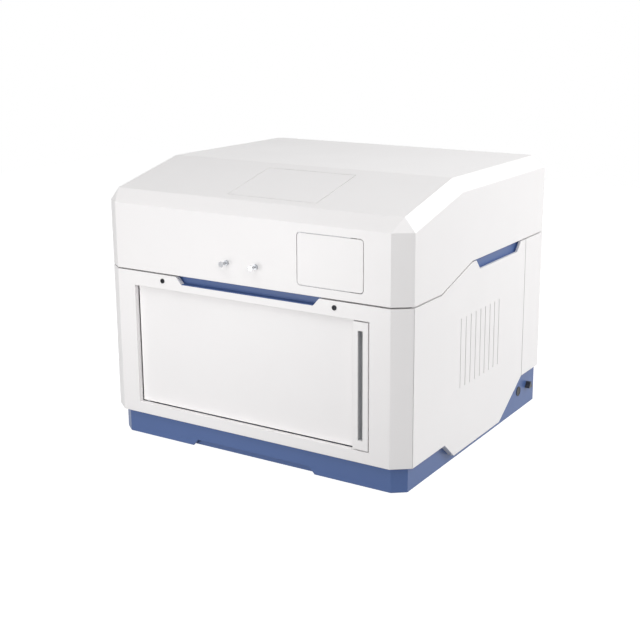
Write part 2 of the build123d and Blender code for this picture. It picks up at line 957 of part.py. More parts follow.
def hood_hinge_leaves():
    """The fixed leaves of the two rear hinges, with their pins."""
    half, sixth = hinge_length / 2, hinge_length / 6
    places = ((-half, -sixth - knuckle_gap / 2), (sixth + knuckle_gap / 2, half))
    return [
        hinge_leaf(x, places, -1) + round_x(hinge_y, side_seam_z, hinge_pin_radius, x - half, x + half)
        for x in (-hinge_x, hinge_x)
    ]


def hood_hinge_straps():
    """The leaves of the rear hinges that the hood hangs on."""
    reach = hinge_length / 6 - knuckle_gap / 2
    bore = round_x(hinge_y, side_seam_z, hinge_pin_radius + slide_gap, -half_width, half_width)
    return [hinge_leaf(x, ((-reach, reach),), 1) - bore for x in (-hinge_x, hinge_x)]


def folded_leaf(x, y, z):
    """A flat front folded back on all four sides, open at the back."""
    hollow = block((x[0] + sheet, x[1] - sheet), (y[0] + sheet, y[1] + over), (z[0] + sheet, z[1] - sheet))
    return block(x, y, z) - hollow


door_x = (door_left + door_gap, -door_left - door_gap)
door_z = (door_low_z + door_gap, door_high_z - door_gap)


def door_panel():
    """Recessed leaf of the front door, folded back all round."""
    x = (door_x[0], door_x[1] - stile_width - leaf_joint)
    panel = folded_leaf(x, (front_y + jamb_depth, door_back_y), door_z)
    return panel - round_z(door_pivot_x, door_pivot_y, door_pin_radius + slide_gap, 0, front_seam_z)


def pull_slot(wall, y0, y1):
    """A box along the finger groove in the stile, grown by wall on its sides and ends."""
    low = door_x[1] - stile_width + pull_from_edge - wall
    middle = (door_low_z + door_high_z) / 2 + pull_lift
    half = pull_height / 2 + wall
    return block((low, low + pull_width + 2 * wall), (y0, y1), (middle - half, middle + half))


def door_stile():
    """Proud strip along the door's opening edge, flush with the front, with the finger slot."""
    stile = folded_leaf((door_x[1] - stile_width, door_x[1]), (front_y, door_back_y), door_z)
    return stile - pull_slot(0, front_y - over, front_y + sheet + over)


def finger_pull():
    """Grey channel set behind the slot in the stile."""
    y = front_y + sheet
    return pull_slot(pull_wall, y, y + pull_depth + pull_wall) - pull_slot(0, y - over, y + pull_depth)


def door_inner_skin():
    """Black sheet that closes the back of the door."""
    x = (door_x[0] + skin_hinge_margin, door_x[1] - skin_margin)
    z = (door_z[0] + skin_margin, door_z[1] - skin_margin)
    return block(x, (door_back_y, door_back_y + skin_sheet), z)


def door_seal():
    """Foam light seal round the back of the door, against the chamber's flange."""
    y = door_back_y + skin_sheet
    x = chamber_width / 2
    z = (chamber_low_z - seal_width, chamber_high_z + seal_width - chamber_wall)
    seal = block((-x - seal_width, x + seal_width), (y, y + seal_depth), z)
    return seal - block((-x, x), (y - over, y + seal_depth + over), (chamber_low_z, chamber_high_z))


def door_brackets():
    """Upper and lower pivot brackets behind the jamb, each with its pin."""
    x = (door_left, door_left + bracket_length)
    y = (front_y + jamb_depth + seat, front_y + bracket_depth)
    brackets = []
    for face, side in ((door_high_z, 1), (door_low_z, -1)):
        near = face + side * seat
        tip = face - side * (door_gap + sheet + over)
        bracket = block(x, y, span(near, near + side * bracket_sheet))
        pin = round_z(door_pivot_x, door_pivot_y, door_pin_radius, *span(tip, near + side * over))
        brackets.append(bracket + pin)
    return brackets


def sample_chamber():
    """Black sheet box behind the door, open at the front, with a flange and a port in its roof."""
    side = chamber_width / 2
    wall = chamber_wall
    back = chamber_y + chamber_depth
    outer = (chamber_low_z - wall, chamber_high_z + wall)
    chamber = block((-side - wall, side + wall), (chamber_y, back), outer)
    flange = (chamber_low_z - chamber_flange, chamber_high_z + chamber_flange)
    reach = side + chamber_side_flange
    chamber += block((-reach, reach), (chamber_y, chamber_y + wall), flange)
    chamber -= block((-side, side), (chamber_y - over, back - wall), (chamber_low_z, chamber_high_z))
    roof = (chamber_high_z - over, chamber_high_z + wall + over)
    return chamber - round_z(port_x, port_y, port_radius - port_lip, *roof)


def chamber_supports():
    """Two folded rails that carry the chamber above the base's floor."""
    low, high = floor_top_z, chamber_low_z - chamber_wall
    y = (chamber_y + support_front, chamber_y + chamber_depth - support_rear)
    supports = []
    for x in (-support_x, support_x):
        left, right = x - support_width / 2, x + support_width / 2
        hollow = (left + support_wall, right - support_wall)
        rail = block((left, right), y, (low, high))
        rail -= block(hollow, (y[0] - over, y[1] + over), (low + support_wall, high - support_wall))
        supports.append(rail)
    return supports


def way_outline(extra):
    """The stage's dovetail as (y, z) points, narrow at its foot, grown by extra."""
    foot, head = way_foot + extra, way_head + extra
    low = chamber_low_z + stage_bed
    high = low + way_height + extra
    return [(port_y - foot, low), (port_y - head, high), (port_y + head, high), (port_y + foot, low)]


def stage_base():
    """Aluminium bed on the chamber's floor with a raised dovetail way along it."""
    half = stage_length / 2
    y = (port_y - stage_depth / 2, port_y + stage_depth / 2)
    bed = block((-half, half), y, (chamber_low_z, chamber_low_z + stage_bed))
    return bed + along_x(way_outline(0), -half, half)


def stage_carriage():
    """Carriage that slides across the chamber on the dovetail way."""
    half = carriage_length / 2
    low = chamber_low_z + stage_bed + seat
    y = (port_y - carriage_depth / 2, port_y + carriage_depth / 2)
    carriage = block((-half, half), y, (low, low + carriage_height))
    return carriage - along_x(way_outline(slide_gap), -half - over, half + over)


def sample_platform():
    """Round platform on a stem, with a shallow recess for the specimen."""
    low = chamber_low_z + stage_bed + seat + carriage_height
    top = low + platform_rise
    platform = round_z(0, port_y, platform_stem_radius, low, top)
    platform += round_z(0, port_y, platform_radius, top - platform_plate, top)
    return platform - round_z(0, port_y, platform_radius - platform_rim, top - platform_sink, top + over)


def light_tube():
    """Black tube from the chamber's port up to the optical deck."""
    low = chamber_high_z + chamber_wall
    tube_outside = round_z(port_x, port_y, port_radius + tube_thickness, low, deck_low_z - seat)
    return tube_outside - round_z(port_x, port_y, port_radius, low - over, deck_low_z)


def optical_deck():
    """Thick plate that carries the optics, drilled with a grid of tapped holes."""
    y = (front_y + deck_front, rear_y - deck_rear_margin)
    deck = block((-deck_half_width, deck_half_width), y, (deck_low_z, deck_top_z))
    through = (deck_low_z - over, deck_top_z + over)
    deck -= round_z(port_x, port_y, port_radius, *through)
    reach = deck_half_width - deck_hole_margin
    for column in range(deck_hole_columns):
        x = -reach + 2 * reach * column / (deck_hole_columns - 1)
        for depth in deck_hole_rows:
            deck -= round_z(x, front_y + depth, deck_hole_radius, *through)
    return deck


def isolators():
    """Rubber mounts between the side rails and the optical deck's corners."""
    x = base_face_x - tube / 2
    ends = (front_y + deck_front + isolator_setback, rear_y - deck_rear_margin - isolator_setback)
    return [
        round_z(hand * x, y, isolator_radius, rail_top_z, deck_low_z)
        for hand in (-1, 1)
        for y in ends
    ]


def lamp_housing():
    """Finned lamp house with a snout towards the filters."""
    left = -deck_half_width + lamp_margin
    right = left + lamp_length
    y = (port_y - lamp_depth / 2, port_y + lamp_depth / 2)
    house = block((left, right), y, (deck_top_z, beam_z + lamp_rise))
    for i in range(lamp_fins):
        low = beam_z - lamp_fin_start + i * lamp_fin_pitch
        fin_cut = (left - over, left + lamp_fin_cut)
        house -= block(fin_cut, (y[0] - over, y[1] + over), (low, low + lamp_fin_gap))
    house += round_x(port_y, beam_z, snout_radius, right - over, right + snout_length)
    mouth = right + snout_length + over
    return house - round_x(port_y, beam_z, snout_bore, mouth - snout_bore_depth, mouth)


def fold_mount():
    """Hollow cube over the port that holds the fold mirror, open to the lamp and to the slit."""
    x = (port_x - fold_half, port_x + fold_half)
    y = (port_y - fold_half, port_y + fold_half)
    top = beam_z + fold_half
    inner_x = (x[0] + fold_wall, x[1] - fold_wall)
    inner_y = (y[0] + fold_wall, y[1] - fold_wall)
    cube = block(x, y, (deck_top_z, top))
    cube -= block(inner_x, inner_y, (deck_top_z - over, top - fold_wall))
    cube -= round_x(port_y, beam_z, fold_window, x[0] - over, inner_x[0] + over)
    return cube - round_y(port_x, beam_z, fold_window, inner_y[1] - over, y[1] + over)


def fold_mirror():
    """Flat mirror across the cube's diagonal, held between its walls."""
    inside = 2 * (fold_half - fold_wall - seat)
    length = inside * math.sqrt(2) - fold_glass
    return Pos(port_x, port_y, beam_z) * Rot(0, 45, 0) * Box(length, inside, fold_glass)


def entrance_slit():
    """Black plate with a narrow upright slit, on a foot."""
    y = port_y + slit_setback
    x = (port_x - slit_plate_half, port_x + slit_plate_half)
    plate = block(x, (y, y + slit_plate), (deck_top_z, beam_z + slit_rise))
    plate += block(x, (y, y + slit_foot_depth), (deck_top_z, deck_top_z + slit_foot))
    opening = (port_x - slit_width / 2, port_x + slit_width / 2)
    height = (beam_z - slit_height / 2, beam_z + slit_height / 2)
    return plate - block(opening, (y - over, y + slit_plate + over), height)


def mirror_places():
    """Where the two curved mirrors stand, each turned towards the grating."""
    y = front_y + mirror_depth
    return [Pos(port_x, y) * Rot(0, 0, mirror_swing), Pos(focus_x, y) * Rot(0, 0, -mirror_swing)]


def mirror_mounts():
    """Plates on feet behind the two curved mirrors, each with a round cell in front."""
    cell = mirror_radius + mirror_rim
    mount = block((-mount_half, mount_half), (0, mount_plate), (deck_top_z, beam_z + mount_rise))
    foot = (mount_plate - mount_foot_depth, mount_plate + mount_foot)
    mount += block((-mount_foot_half, mount_foot_half), foot, (deck_top_z, deck_top_z + mount_foot))
    mount += round_y(0, beam_z, cell, -mirror_thickness, over)
    pocket = round_y(0, beam_z, mirror_radius + bond, -mirror_thickness - over, 0)
    return [place * (mount - pocket) for place in mirror_places()]


def curved_mirrors():
    """Collimating and focusing mirrors with hollow faces."""
    mirror_solid = round_y(0, beam_z, mirror_radius, seat - mirror_thickness, 0)
    return [place * mirror_solid for place in mirror_places()]


def turret_base():
    """Drive housing under the grating with the turret's pivot."""
    y = front_y + turret_depth
    top = deck_top_z + turret_base_height
    x = (turret_x - turret_base_half, turret_x + turret_base_half)
    base = block(x, (y - turret_base_half, y + turret_base_half), (deck_top_z, top))
    return base + round_z(turret_x, y, turret_pin_radius, top - over, top + turret_plate - over)


def grating_turret():
    """Turntable and upright that carry the grating."""
    y = front_y + turret_depth
    low = deck_top_z + turret_base_height + seat
    top = low + turret_plate
    turret = round_z(turret_x, y, turret_radius, low, top)
    back = y - grating_thickness / 2
    x = (turret_x - turret_post_half, turret_x + turret_post_half)
    turret += block(x, (back - turret_post_thickness, back), (top - over, beam_z + turret_rise))
    return turret - round_z(turret_x, y, turret_pin_radius + slide_gap, low - over, top - over + seat)


def grating():
    """Ruled plate on the turret's upright, centred on the pivot's axis."""
    y = front_y + turret_depth
    x = (turret_x - grating_half, turret_x + grating_half)
    z = (beam_z - grating_height / 2, beam_z + grating_height / 2)
    return block(x, (y - grating_thickness / 2, y + grating_thickness / 2), z)


def detector():
    """Detector head with cooling fins and a square window towards the focusing mirror."""
    x = -deck_half_width + detector_margin
    y = front_y + detector_depth
    left = x - detector_half
    front, back = y - detector_half_depth, y + detector_half_depth
    z = (deck_top_z, beam_z + detector_rise)
    head = block((left, x + detector_half), (front, back), z)
    head += round_y(x, beam_z, detector_nose_radius, back - over, back + detector_nose)
    pitch = (back - front - cooler_fin) / (cooler_fins - 1)
    for i in range(cooler_fins):
        fin = front + i * pitch
        head += block((left - cooler_reach, left + over), (fin, fin + cooler_fin), z)
    mouth = (back + detector_nose - detector_window_depth, back + detector_nose + over)
    wide, high = detector_window / 2, detector_window_height / 2
    return head - block((x - wide, x + wide), mouth, (beam_z - high, beam_z + high))


def board_standoffs():
    """Four posts under the control board's corners."""
    x = (board_left + standoff_inset, board_left + board_length - standoff_inset)
    y = (front_y + board_front + standoff_inset, front_y + board_front + board_depth - standoff_inset)
    return [round_z(a, b, standoff_radius, floor_top_z, floor_top_z + standoff_height) for a in x for b in y]


def control_board():
    """Circuit board with its larger components and a row of connectors."""
    low = floor_top_z + standoff_height
    top = low + board_sheet
    front = front_y + board_front
    back = front + board_depth
    board = block((board_left, board_left + board_length), (front, back), (low, top))
    for x, y, wide, deep, high in chip_places:
        left, near = board_left + x - wide / 2, front + y - deep / 2
        board += block((left, left + wide), (near, near + deep), (top, top + high))
    for i in range(socket_count):
        left = board_left + socket_start + i * socket_pitch
        far = back - socket_setback
        board += block((left, left + socket_width), (far - socket_depth, far), (top, top + socket_height))
    for i in range(capacitor_count):
        x = board_left + capacitor_start + i * capacitor_pitch
        board += round_z(x, front + capacitor_front, capacitor_radius, top, top + capacitor_height)
    return board


def power_supply():
    """Enclosed supply on the tray's floor, with slots along its side."""
    right = supply_left + supply_length
    front = front_y + supply_front
    high = floor_top_z + supply_height
    supply = block((supply_left, right), (front, front + supply_depth), (floor_top_z, high))
    for i in range(supply_slots):
        y = front + supply_slot_start + i * supply_slot_pitch
        slot_z = (floor_top_z + supply_slot_margin, high - supply_slot_margin)
        supply -= block((right - supply_slot_sink, right + over), (y, y + supply_slot_width), slot_z)
    return supply


def power_inlet():
    """Mains socket in the base's rear wall: a flange, a shrouded body and three blades."""

    def centred(width, height, y0, y1):
        x = (inlet_x - width / 2, inlet_x + width / 2)
        return block(x, (y0, y1), (inlet_z - height / 2, inlet_z + height / 2))

    rim = 2 * inlet_rim
    inlet = centred(inlet_width + rim, inlet_height + rim, rear_y, rear_y + inlet_flange)
    inlet += centred(inlet_width, inlet_height, rear_y - inlet_depth, rear_y + over)
    face = rear_y + inlet_flange + over
    inlet -= centred(inlet_mouth, inlet_mouth_height, rear_y - inlet_mouth_depth, face)
    for x, z in blade_places:
        side = (inlet_x + x - blade_half_width, inlet_x + x + blade_half_width)
        height = (inlet_z + z - blade_half_height, inlet_z + z + blade_half_height)
        inlet += block(side, (rear_y - inlet_mouth_depth - over, rear_y - inlet_flange), height)
    return inlet


def fan_frame():
    """Square fan frame inside the rear panel, with four ribs that hold the motor's pin."""
    back = rear_y - sheet
    front = back - fan_depth
    half = fan_size / 2
    bore = half - fan_wall
    frame = block((fan_x - half, fan_x + half), (front, back), (fan_z - half, fan_z + half))
    frame -= round_y(fan_x, fan_z, bore, front - over, back + over)
    rib_half = fan_rib / 2
    for angle in range(0, 360, 90):
        rib = block((fan_hub_radius / 2, bore + over), (front, front + fan_rib), (-rib_half, rib_half))
        frame += Pos(fan_x, 0, fan_z) * Rot(0, angle + 45, 0) * rib
    frame += round_y(fan_x, fan_z, fan_hub_radius, front, front + fan_rib)
    return frame + round_y(fan_x, fan_z, fan_pin_radius, front, back - 2 * fan_rib)


def fan_rotor():
    """Hub on the frame's pin with seven set blades."""
    front = rear_y - sheet - fan_depth + fan_rib + seat
    back = rear_y - sheet - fan_rib
    middle = (front + back) / 2
    rotor = round_y(fan_x, fan_z, fan_hub_radius, front, back)
    rotor -= round_y(fan_x, fan_z, fan_pin_radius + slide_gap, front - over, back - fan_rib + seat)
    reach = fan_hub_radius - over + fan_blade_length / 2
    blade = Box(fan_blade_length, fan_blade_sheet, fan_blade_chord)
    blade = Pos(reach, middle, 0) * Rot(fan_blade_swing, 0, 0) * blade
    for i in range(fan_blades):
        rotor += Pos(fan_x, 0, fan_z) * Rot(0, i * 360 / fan_blades, 0) * blade
    return rotor


def fan_guard():
    """Wire guard over the fan's hole: rings on crossed bars."""
    half = guard_bar_width / 2
    bar = block((-guard_bar_reach, guard_bar_reach), (rear_y, rear_y + guard_bar), (-half, half))
    guard = Rot(0, 45, 0) * bar + Rot(0, -45, 0) * bar
    low, high = rear_y + guard_bar - bond, rear_y + guard_bar + guard_wire
    for radius in guard_rings:
        ring = round_y(0, 0, radius + guard_wire / 2, low, high)
        guard += ring - round_y(0, 0, radius - guard_wire / 2, low - over, high + over)
    return Pos(fan_x, 0, fan_z) * guard


def button_bezel():
    """Black sleeve in the base's right side, with a flat rim, that the power button slides in."""
    y = front_y + button_depth
    bezel = round_x(y, button_z, bezel_radius, base_face_x + bond, base_face_x + bezel_face)
    sleeve = (base_face_x - bezel_length, base_face_x + bezel_face)
    bezel += round_x(y, button_z, button_radius + bezel_wall, *sleeve)
    bore = (base_face_x - bezel_bore_depth, base_face_x + bezel_face + over)
    return bezel - round_x(y, button_z, button_radius + slide_gap, *bore)


def power_button():
    """Round push button, its face just below the rim."""
    face = base_face_x + bezel_face - button_sink
    return round_x(front_y + button_depth, button_z, button_radius, face - button_length, face)


def switch_body():
    """Rotary switch behind the base's wall, with its spindle through the wall."""
    y = front_y + switch_depth
    back = base_face_x - base_wall - bond
    body = round_x(y, switch_z, switch_body_radius, back - switch_body_length, back)
    return body + round_x(y, switch_z, spindle_radius, back - over, base_face_x + spindle_reach)


def switch_knob():
    """Three-lobed knob on the switch's spindle."""
    y = front_y + switch_depth
    x = (base_face_x + seat, base_face_x + seat + switch_height)
    knob = round_x(y, switch_z, switch_hub_radius, *x)
    for i in range(switch_lobes):
        turn = math.radians(i * 360 / switch_lobes - switch_rest)
        lobe_y = y + switch_lobe_reach * math.cos(turn)
        lobe_z = switch_z + switch_lobe_reach * math.sin(turn)
        knob += round_x(lobe_y, lobe_z, switch_lobe_radius, *x)
    bore = (base_face_x, base_face_x + spindle_reach + seat)
    return knob - round_x(y, switch_z, spindle_radius + slide_gap, *bore)


makers = {
    "base_skirt": base_skirt,
    "base_floor": base_floor,
    "carry_rail": carry_rail,
    "rubber_feet": rubber_feet,
    "body_frame": body_frame,
    "front_frame": front_frame,
    "fascia_screws": fascia_screws,
    "side_panel_right": side_panel,
    "side_panel_left": lambda: mirrored(side_panel()),
    "rear_shell": rear_shell,
    "light_trap": light_trap,
    "grip_liners": grip_liners,
    "hood_hinge_leaves": hood_hinge_leaves,
    "hood": hood,
    "hood_hinge_straps": hood_hinge_straps,
    "top_hatch": top_hatch,
    "front_hatch": front_hatch,
    "hatch_frames": hatch_frames,
    "rod_bushes": rod_bushes,
    "left_pull_rod": lambda: pull_rod(rod_places[0]),
    "right_pull_rod": lambda: pull_rod(rod_places[1]),
    "left_filter_carrier": lambda: filter_carrier(rod_places[0]),
    "right_filter_carrier": lambda: filter_carrier(rod_places[1]),
    "left_filter": lambda: round_filter(rod_places[0]),
    "right_filter": lambda: round_filter(rod_places[1]),
    "door_panel": door_panel,
    "door_stile": door_stile,
    "finger_pull": finger_pull,
    "door_inner_skin": door_inner_skin,
    "door_seal": door_seal,
    "door_brackets": door_brackets,
    "sample_chamber": sample_chamber,
    "chamber_supports": chamber_supports,
    "stage_base": stage_base,
    "stage_carriage": stage_carriage,
    "sample_platform": sample_platform,
    "light_tube": light_tube,
    "optical_deck": optical_deck,
    "isolators": isolators,
    "lamp_housing": lamp_housing,
    "fold_mount": fold_mount,
    "fold_mirror": fold_mirror,
    "entrance_slit": entrance_slit,
    "mirror_mounts": mirror_mounts,
    "curved_mirrors": curved_mirrors,
    "turret_base": turret_base,
    "grating_turret": grating_turret,
    "grating": grating,
    "detector": detector,
    "control_board": control_board,
    "board_standoffs": board_standoffs,
    "power_supply": power_supply,
    "power_inlet": power_inlet,
    "fan_frame": fan_frame,
    "fan_rotor": fan_rotor,
    "fan_guard": fan_guard,
    "button_bezel": button_bezel,
    "power_button": power_button,
    "switch_body": switch_body,
    "switch_knob": switch_knob,
}

os.makedirs("parts", exist_ok=True)
for name, make in makers.items():
    made = make()
    if isinstance(made, list):
        made = Compound(children=[solid for piece in made for solid in piece.solids()])
    elif len(made.solids()) == 1:
        made = made.solids()[0]
    made.label = name
    export_step(made, "parts/" + name + ".step")
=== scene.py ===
import bmesh
import bpy
import math
from mathutils import Matrix, Vector


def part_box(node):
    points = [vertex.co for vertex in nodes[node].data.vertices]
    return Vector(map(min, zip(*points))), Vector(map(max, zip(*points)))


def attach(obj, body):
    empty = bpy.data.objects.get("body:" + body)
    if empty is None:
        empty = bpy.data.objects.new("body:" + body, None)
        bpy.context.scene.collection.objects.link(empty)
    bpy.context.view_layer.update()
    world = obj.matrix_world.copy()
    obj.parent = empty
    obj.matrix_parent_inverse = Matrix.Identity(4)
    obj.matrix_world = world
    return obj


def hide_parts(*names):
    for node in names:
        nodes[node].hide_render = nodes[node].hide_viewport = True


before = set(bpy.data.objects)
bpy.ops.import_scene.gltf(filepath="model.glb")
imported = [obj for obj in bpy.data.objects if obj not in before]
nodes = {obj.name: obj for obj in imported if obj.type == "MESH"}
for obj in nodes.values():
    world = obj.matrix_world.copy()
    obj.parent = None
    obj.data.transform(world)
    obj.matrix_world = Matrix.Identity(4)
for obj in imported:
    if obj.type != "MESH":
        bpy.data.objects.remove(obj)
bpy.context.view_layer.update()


# Camera
# A standing person's three-quarter view from the front right, with the lens and the framing of
# the reference view. The small shift puts the instrument where that view has it.
camera_data = bpy.data.cameras.new("studio_camera")
camera_data.lens = 64.15
camera_data.sensor_width = 36
camera_data.shift_x = -0.04995
camera_data.shift_y = -0.0705
camera_data.clip_end = 50
camera = bpy.data.objects.new("studio_camera", camera_data)
bpy.context.scene.collection.objects.link(camera)
camera_eye = Vector((1.07317, -1.71406, 0.74599))
camera_aim = Vector((0.0531, -0.0169, 0.2811))
camera.location = camera_eye
camera.rotation_euler = (camera_aim - camera_eye).to_track_quat("-Z", "Y").to_euler()
bpy.context.scene.camera = camera
bpy.context.scene.view_settings.view_transform = "Standard"


# Studio floor and world
# A white paper sweep under the instrument. The camera and the polished parts see plain white,
# and the paper keeps only the instrument's soft shadow.
def linear(code):
    """A colour for the shaders from its sRGB hex code."""
    parts = [int(code[i:i + 2], 16) / 255 for i in (1, 3, 5)]
    return [part / 12.92 if part <= 0.04045 else ((part + 0.055) / 1.055) ** 2.4 for part in parts] + [1]


def add(tree, kind, inputs=None, **settings):
    """Adds a node to a tree, with its settings, and with values or links on its inputs."""
    made = tree.nodes.new(kind)
    for key, value in settings.items():
        setattr(made, key, value)
    for socket, value in (inputs or {}).items():
        if isinstance(value, bpy.types.NodeSocket):
            tree.links.new(value, made.inputs[socket])
        else:
            made.inputs[socket].default_value = value
    return made


def new_material(name):
    """An empty material with its tree and its output node."""
    material = bpy.data.materials.new(name)
    material.use_nodes = True
    material.node_tree.nodes.clear()
    return material, material.node_tree, add(material.node_tree, "ShaderNodeOutputMaterial")


def seen_directly(tree):
    """One for rays from the camera and for mirrored rays, and nothing for the rest."""
    path = add(tree, "ShaderNodeLightPath")
    ways = {0: path.outputs["Is Camera Ray"], 1: path.outputs["Is Glossy Ray"]}
    camera_or_gloss = add(tree, "ShaderNodeMath", ways, operation="MAXIMUM")
    ways = {0: camera_or_gloss.outputs[0], 1: path.outputs["Is Transmission Ray"]}
    return add(tree, "ShaderNodeMath", ways, operation="MAXIMUM").outputs[0]


world = bpy.data.worlds.new("studio_world")
bpy.context.scene.world = world
world.use_nodes = True
sky = world.node_tree
sky.nodes.clear()
room_fill = 0.05
seen_white = 1.0
sky_fill = add(sky, "ShaderNodeBackground", {"Color": linear("#FFFFFF"), "Strength": room_fill})
sky_white = add(sky, "ShaderNodeBackground", {"Color": linear("#FFFFFF"), "Strength": seen_white})
sky_ends = {0: seen_directly(sky), 1: sky_fill.outputs[0], 2: sky_white.outputs[0]}
sky_mix = add(sky, "ShaderNodeMixShader", sky_ends)
add(sky, "ShaderNodeOutputWorld", {"Surface": sky_mix.outputs[0]})

floor_reach = 3.0
floor_glow = 0.96
corners = [(x * floor_reach, y * floor_reach, 0) for x, y in ((-1, -1), (1, -1), (1, 1), (-1, 1))]
floor_mesh = bpy.data.meshes.new("studio_floor")
floor_mesh.from_pydata(corners, [], [(0, 1, 2, 3)])
floor = bpy.data.objects.new("studio_floor", floor_mesh)
bpy.context.scene.collection.objects.link(floor)
paper_coat, tree, output = new_material("white_paper_sweep")
paper = add(tree, "ShaderNodeBsdfDiffuse", {"Color": linear("#9C9C9C")})
paper_lift = add(tree, "ShaderNodeMath", {0: seen_directly(tree), 1: floor_glow}, operation="MULTIPLY")
glow = {"Color": linear("#FFFFFF"), "Strength": paper_lift.outputs[0]}
paper_glow = add(tree, "ShaderNodeEmission", glow)
paper_both = add(tree, "ShaderNodeAddShader", {0: paper.outputs[0], 1: paper_glow.outputs[0]})
tree.links.new(paper_both.outputs[0], output.inputs["Surface"])
floor_mesh.materials.append(paper_coat)


# Soft lamps
# Square softboxes. The front one hangs close to the left half of the front, so its light falls
# off to the right. The others are wide and far, and shade the roof, the slope and the side.
def softbox(name, place, aim, size, power):
    """A square lamp of the given width in metres and power in watts, turned towards its aim."""
    data = bpy.data.lights.new(name, "AREA")
    data.shape = "SQUARE"
    data.size = size
    data.energy = power
    lamp = bpy.data.objects.new(name, data)
    bpy.context.scene.collection.objects.link(lamp)
    lamp.location = place
    lamp.rotation_euler = (Vector(aim) - Vector(place)).to_track_quat("-Z", "Y").to_euler()
    return lamp


softbox("front_softbox", (-0.25, -1.15, 0.3), (-0.2, -0.27, 0.22), 0.7, 5.5)
softbox("key_softbox", (2.0, -2.3, 1.7), (0, 0, 0.25), 1.8, 22)
softbox("top_softbox", (0.1, -1.3, 2.4), (0, -0.1, 0.3), 1.8, 24)
softbox("right_softbox", (3.0, 0.0, 1.2), (0, 0, 0.25), 1.8, 13)
softbox("rear_softbox", (0.0, 2.0, 2.6), (0, 0, 0.3), 1.8, 8)
softbox("rear_right_softbox", (2.2, 1.4, 1.6), (0, 0, 0.25), 1.6, 54)


# White panels
# Body panels, door leaf, hood and hatches, folded from 2.5 mm sheet steel and powder coated in a
# smooth satin white. The coat rounds every folded edge and carries a very fine orange peel.
mottle_scale = 9.0
peel_scale = 650.0
peel_height = 0.0002


def dress(material, *names):
    """Gives the material to the named carried-over nodes."""
    for name in names:
        mesh = nodes[name].data
        if not mesh.materials:
            mesh.materials.append(material)
        for slot in nodes[name].material_slots:
            slot.material = material


def powder_coat(name, colour, darker, roughness, edge):
    """Satin powder coat: soft rounded edges, mottling in patches of about 110 mm, and orange
    peel of about 1.5 mm."""
    material, tree, output = new_material(name)
    place = add(tree, "ShaderNodeTexCoord").outputs["Object"]
    mottle = add(tree, "ShaderNodeTexNoise", {"Vector": place, "Scale": mottle_scale, "Detail": 3.0})
    tones = {"Factor": mottle.outputs["Fac"], 6: linear(colour), 7: linear(darker)}
    colours = add(tree, "ShaderNodeMix", tones, data_type="RGBA")
    limits = {"Value": mottle.outputs["Fac"], "To Min": roughness - 0.03, "To Max": roughness + 0.05}
    gloss = add(tree, "ShaderNodeMapRange", limits)
    peel = add(tree, "ShaderNodeTexNoise", {"Vector": place, "Scale": peel_scale, "Detail": 2.0})
    rounding = add(tree, "ShaderNodeBevel", {"Radius": edge}, samples=6)
    bump = add(tree, "ShaderNodeBump", {
        "Height": peel.outputs["Fac"], "Strength": 0.05, "Distance": peel_height,
        "Normal": rounding.outputs[0]})
    coat = add(tree, "ShaderNodeBsdfPrincipled", {
        "Base Color": colours.outputs[2], "Roughness": gloss.outputs[0], "IOR": 1.5,
        "Normal": bump.outputs[0]})
    tree.links.new(coat.outputs[0], output.inputs["Surface"])
    return material


white_coat = powder_coat("white_satin_powder_coat", "#F5F3F3", "#F1EFEF", 0.34, 0.0012)
dress(white_coat, "hood", "front_frame", "side_panel_right", "side_panel_left", "rear_shell",
      "top_hatch", "front_hatch", "door_panel", "door_stile")


# Blue base and finger recesses
# The base's skirt and floor, its grip rail and the pockets of the finger recesses are folded from
# the same sheet and powder coated in a mid navy blue.
blue_coat = powder_coat("navy_blue_powder_coat", "#4A6397", "#466093", 0.4, 0.001)
dress(blue_coat, "base_skirt", "base_floor", "carry_rail", "grip_liners")


# Black sheet
# Chamber, light trap, light tube and the door's inside are folded from thin sheet and sprayed
# matte black, which swallows stray light.
black_paint = powder_coat("matte_black_paint", "#1A1B1D", "#141517", 0.6, 0.0004)
dress(black_paint, "light_trap", "sample_chamber", "light_tube", "door_inner_skin")


# Plastic parts
# The finger channel in the door is moulded in grey ABS and the switch's knob in dark grey nylon.
# Inlet, fan frame, button and switch are black, with the fine grain of a spark-eroded mould.
def moulded(name, colour, darker, roughness, grain):
    """Moulded plastic or rubber, its grain given in dots per metre."""
    material, tree, output = new_material(name)
    place = add(tree, "ShaderNodeTexCoord").outputs["Object"]
    tint = add(tree, "ShaderNodeTexNoise", {"Vector": place, "Scale": 40.0, "Detail": 2.0})
    tones = {"Factor": tint.outputs["Fac"], 6: linear(colour), 7: linear(darker)}
    colours = add(tree, "ShaderNodeMix", tones, data_type="RGBA")
    texture = add(tree, "ShaderNodeTexNoise", {"Vector": place, "Scale": grain, "Detail": 3.0})
    rounding = add(tree, "ShaderNodeBevel", {"Radius": 0.0004}, samples=4)
    bump = add(tree, "ShaderNodeBump", {
        "Height": texture.outputs["Fac"], "Strength": 0.15, "Distance": 0.0002,
        "Normal": rounding.outputs[0]})
    body = add(tree, "ShaderNodeBsdfPrincipled", {
        "Base Color": colours.outputs[2], "Roughness": roughness, "IOR": 1.49,
        "Normal": bump.outputs[0]})
    tree.links.new(body.outputs[0], output.inputs["Surface"])
    return material


grey_abs = moulded("grey_moulded_abs", "#BCBDBF", "#B4B5B8", 0.5, 1200.0)
dress(grey_abs, "finger_pull")
black_abs = moulded("black_moulded_abs", "#17181A", "#111214", 0.45, 1200.0)
dress(black_abs, "power_inlet", "fan_frame", "button_bezel", "power_button", "switch_body")
knob_grey = moulded("dark_grey_moulded_nylon", "#4C4E54", "#414349", 0.42, 900.0)
dress(knob_grey, "switch_knob")
